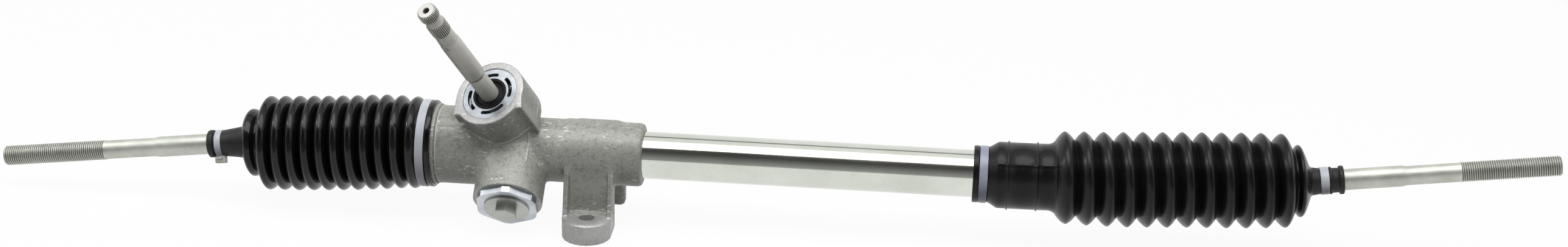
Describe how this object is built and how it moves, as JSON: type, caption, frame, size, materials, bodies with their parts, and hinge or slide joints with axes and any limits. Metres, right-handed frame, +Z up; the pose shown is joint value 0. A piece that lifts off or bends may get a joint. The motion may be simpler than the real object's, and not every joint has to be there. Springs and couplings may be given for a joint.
{
  "type": "steering rack",
  "caption": "Manual rack and pinion steering gear: cast housing with splined input shaft, steel tube, pleated boots and threaded tie rods on inner ball joints.",
  "frame": {"origin": "half way between the two foot bolts, on the mounting plane, under the rack axis", "axes": "+X along the rack towards the tube end, +Y to the rear, away from the adjuster, +Z up along the foot bolts"},
  "size_m": [1.091, 0.1319, 0.1802],
  "materials": {
    "cast_aluminium": "die cast, satin with scuffs",
    "bright_zinc": "bright zinc plated, nearly mirror",
    "rod_zinc": "zinc plated, satin, threaded end",
    "shaft_steel": "ground steel, oiled grey",
    "bearing_steel": "ground",
    "spring_steel": "drawn wire",
    "socket_steel": "turned, phosphated",
    "plate_zinc": "bright zinc, bluish",
    "plug_zinc": "yellowish zinc, satin",
    "guide_metal": "sintered, matt",
    "bush_bronze": "bronze, matt",
    "liner_polymer": "low friction polymer",
    "boot_rubber": "satin black",
    "seal_rubber": "matt black",
    "band_nylon": "natural nylon, slightly translucent"
  },
  "bodies": {
    "housing": {"housing": "cast_aluminium", "rack_tube": "bright_zinc", "rack_bush": "liner_polymer", "pinion_bearing_outer_race": "bearing_steel", "pinion_lower_bush": "bush_bronze", "seal_retainer_plate": "plate_zinc", "pinion_oil_seal": "seal_rubber", "rack_guide": "guide_metal", "rack_guide_liner": "liner_polymer", "rack_guide_o_ring": "seal_rubber", "rack_guide_spring": "spring_steel", "adjuster_plug": "plug_zinc", "adjuster_lock_nut": "plate_zinc", "left_boot": "boot_rubber", "right_boot": "boot_rubber", "left_boot_large_band": "band_nylon", "right_boot_large_band": "band_nylon"},
    "pinion": {"pinion_shaft": "shaft_steel", "pinion_bearing_inner_race": "bearing_steel", "pinion_bearing_balls": "bearing_steel", "pinion_circlip": "spring_steel"},
    "rack": {"rack_bar": "bearing_steel", "left_inner_socket": "socket_steel", "right_inner_socket": "socket_steel", "left_lock_washer": "spring_steel", "right_lock_washer": "spring_steel"},
    "left_ball_seat": {"left_ball_seat": "liner_polymer"},
    "left_tie_rod": {"left_tie_rod": "rod_zinc", "left_boot_small_band": "band_nylon"},
    "right_ball_seat": {"right_ball_seat": "liner_polymer"},
    "right_tie_rod": {"right_tie_rod": "rod_zinc", "right_boot_small_band": "band_nylon"}
  },
  "joints": [
    {"name": "rack_slide", "type": "slide", "parent": "housing", "child": "rack", "axis": [1, 0, 0], "range_m": [-0.07, 0.07], "deforming": ["left_boot", "right_boot"]},
    {"name": "pinion_spin", "type": "hinge", "parent": "housing", "child": "pinion", "pos_m": [-0.055, 0.01103, 0.05813], "axis": [-0.2924, -0.5675, 0.7697], "range_deg": [-550, 550]},
    {"name": "left_rod_swing", "type": "hinge", "parent": "rack", "child": "left_ball_seat", "pos_m": [-0.1892, 0, 0.05], "axis": [0, 1, 0], "range_deg": [-13.1, 26.9], "deforming": ["left_boot"]},
    {"name": "left_rod_steer", "type": "hinge", "parent": "left_ball_seat", "child": "left_tie_rod", "pos_m": [-0.1892, 0, 0.05], "axis": [0, 0, 1], "range_deg": [-12, 12], "deforming": ["left_boot"]},
    {"name": "right_rod_swing", "type": "hinge", "parent": "rack", "child": "right_ball_seat", "pos_m": [0.4371, 0, 0.05], "axis": [0, 1, 0], "range_deg": [-12.4, 27.6], "deforming": ["right_boot"]},
    {"name": "right_rod_steer", "type": "hinge", "parent": "right_ball_seat", "child": "right_tie_rod", "pos_m": [0.4371, 0, 0.05], "axis": [0, 0, 1], "range_deg": [-12, 12], "deforming": ["right_boot"]}
  ],
  "couplings": [
    {"joint": "pinion_spin", "follows": "rack_slide", "rad_per_m": 136.61}
  ]
}
